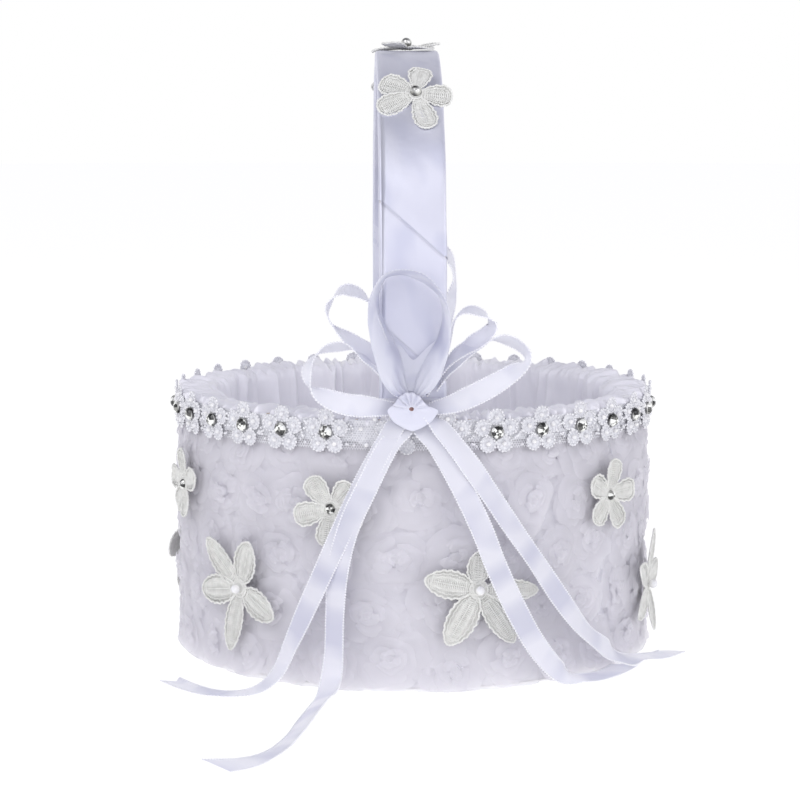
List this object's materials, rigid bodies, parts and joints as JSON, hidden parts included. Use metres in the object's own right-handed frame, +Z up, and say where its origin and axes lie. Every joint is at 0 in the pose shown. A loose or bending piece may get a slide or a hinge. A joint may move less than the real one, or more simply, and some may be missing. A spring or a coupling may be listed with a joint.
{
  "type": "flower girl basket",
  "caption": "Round white basket covered in chiffon rosettes, with a satin lining, a beaded rim trim, lace flowers, a satin-wrapped arch handle and a ribbon bow.",
  "frame": {"origin": "centre of the flat underside of the basket, on the surface that it stands on", "axes": "+Z up along the axis of the round basket; -Y towards the bow at the front; the arch handle spans from -Y to +Y; +X to the viewer's right"},
  "size_m": [0.2595, 0.3708, 0.3003],
  "materials": {
    "lining_satin": "soft satin",
    "paperboard": "matte board",
    "net": "fine net",
    "chiffon": "matte translucent chiffon",
    "seed_beads": "glossy seed beads",
    "pearl": "pearl lustre",
    "silver": "bright silver",
    "rhinestone": "foil-backed facets",
    "handle_plastic": "matte band",
    "wide_ribbon": "glossy satin ribbon",
    "narrow_ribbon": "glossy satin ribbon with stitched edges",
    "lace": "ivory guipure lace",
    "copper": "satin copper"
  },
  "bodies": {
    "root": {"base_cover": "lining_satin", "base_board": "paperboard", "wall_core": "paperboard", "satin_sleeve": "lining_satin", "net_skin": "net", "floor_pad": "lining_satin", "lining": "lining_satin", "rim_roll": "lining_satin", "rosettes_row_1": "chiffon", "rosettes_row_2": "chiffon", "rosettes_row_3": "chiffon", "rosettes_row_4": "chiffon", "rosettes_row_5": "chiffon", "trim_tape": "net", "trim_petals": "seed_beads", "trim_pearls": "pearl", "trim_stone_cups": "silver", "trim_stones": "rhinestone", "handle_core": "handle_plastic", "handle_wrap": "wide_ribbon", "handle_staples": "silver", "handle_flower_front": "lace", "handle_flower_top": "lace", "handle_flower_back": "lace", "handle_beads": "silver", "lace_flower_front_left": "lace", "lace_flower_front_right": "lace", "lace_flower_right": "lace", "lace_flower_back_right": "lace", "lace_flower_back_left": "lace", "lace_flower_left": "lace", "lace_bloom_left": "lace", "lace_bloom_front_left": "lace", "lace_bloom_front_right": "lace", "lace_bloom_right": "lace", "lace_bloom_back": "lace", "lace_bloom_back_left": "lace", "lace_pearls": "pearl", "lace_stones": "rhinestone", "wide_loop": "wide_ribbon", "loop_left_upper": "narrow_ribbon", "loop_left_lower": "narrow_ribbon", "loop_right_upper": "narrow_ribbon", "loop_right_middle": "narrow_ribbon", "loop_right_lower": "narrow_ribbon", "tail_left_inner": "narrow_ribbon", "tail_left_outer": "narrow_ribbon", "tail_right_inner": "narrow_ribbon", "tail_right_outer": "narrow_ribbon", "bow_knot": "narrow_ribbon", "bow_band": "narrow_ribbon", "bow_pin": "copper"}
  },
  "joints": []
}
